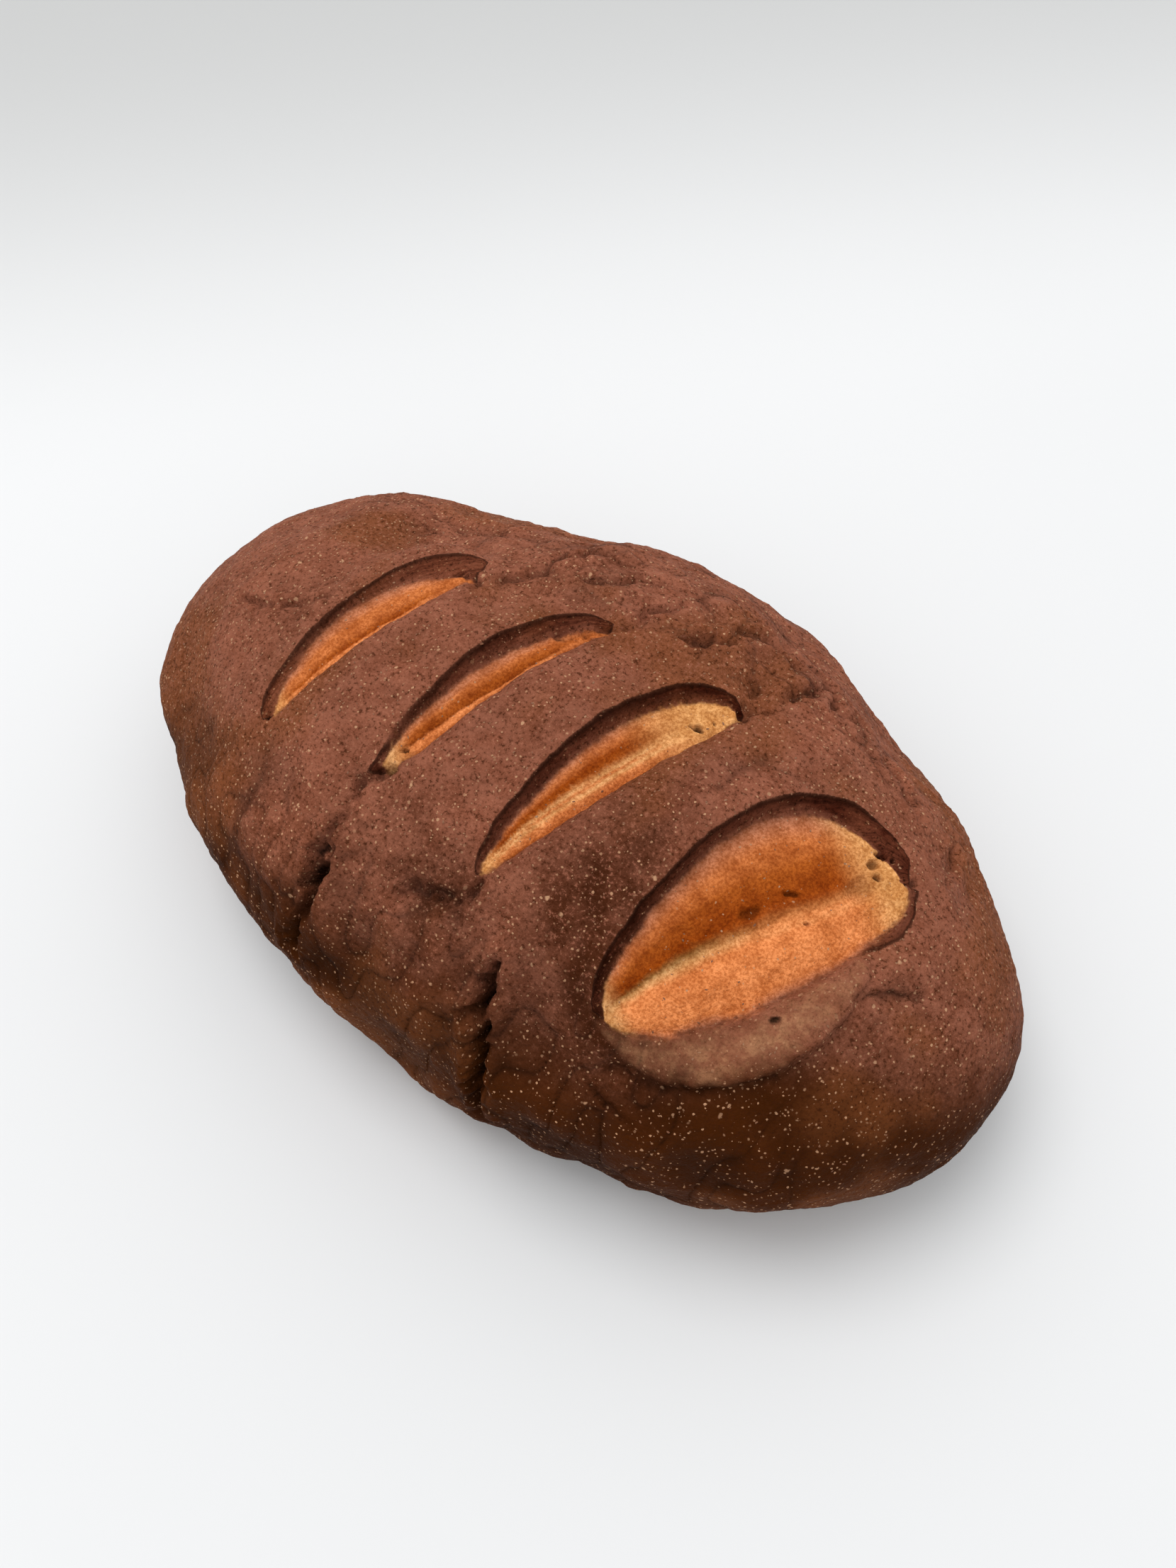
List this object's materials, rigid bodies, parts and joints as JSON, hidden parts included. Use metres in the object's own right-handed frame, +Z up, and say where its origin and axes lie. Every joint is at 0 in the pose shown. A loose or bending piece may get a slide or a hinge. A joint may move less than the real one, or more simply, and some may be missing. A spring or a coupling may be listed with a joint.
{
  "type": "marble rye loaf",
  "caption": "Oval loaf of marble rye bread, baked in one piece, with a dark crust whose opened slashes show light dough; rests on its flat base.",
  "frame": {"origin": "under the middle of the loaf's box, on the plane of its flat base", "axes": "+X along the loaf towards the end with the widest slash, +Z up"},
  "size_m": [0.2578, 0.1574, 0.0854],
  "materials": {
    "crust": "matt dark brown baked crust, light orange-brown dough in the slashes",
    "bran": "matt pale bran flecks on the crust"
  },
  "bodies": {
    "root": {"loaf": "crust"}
  },
  "joints": []
}
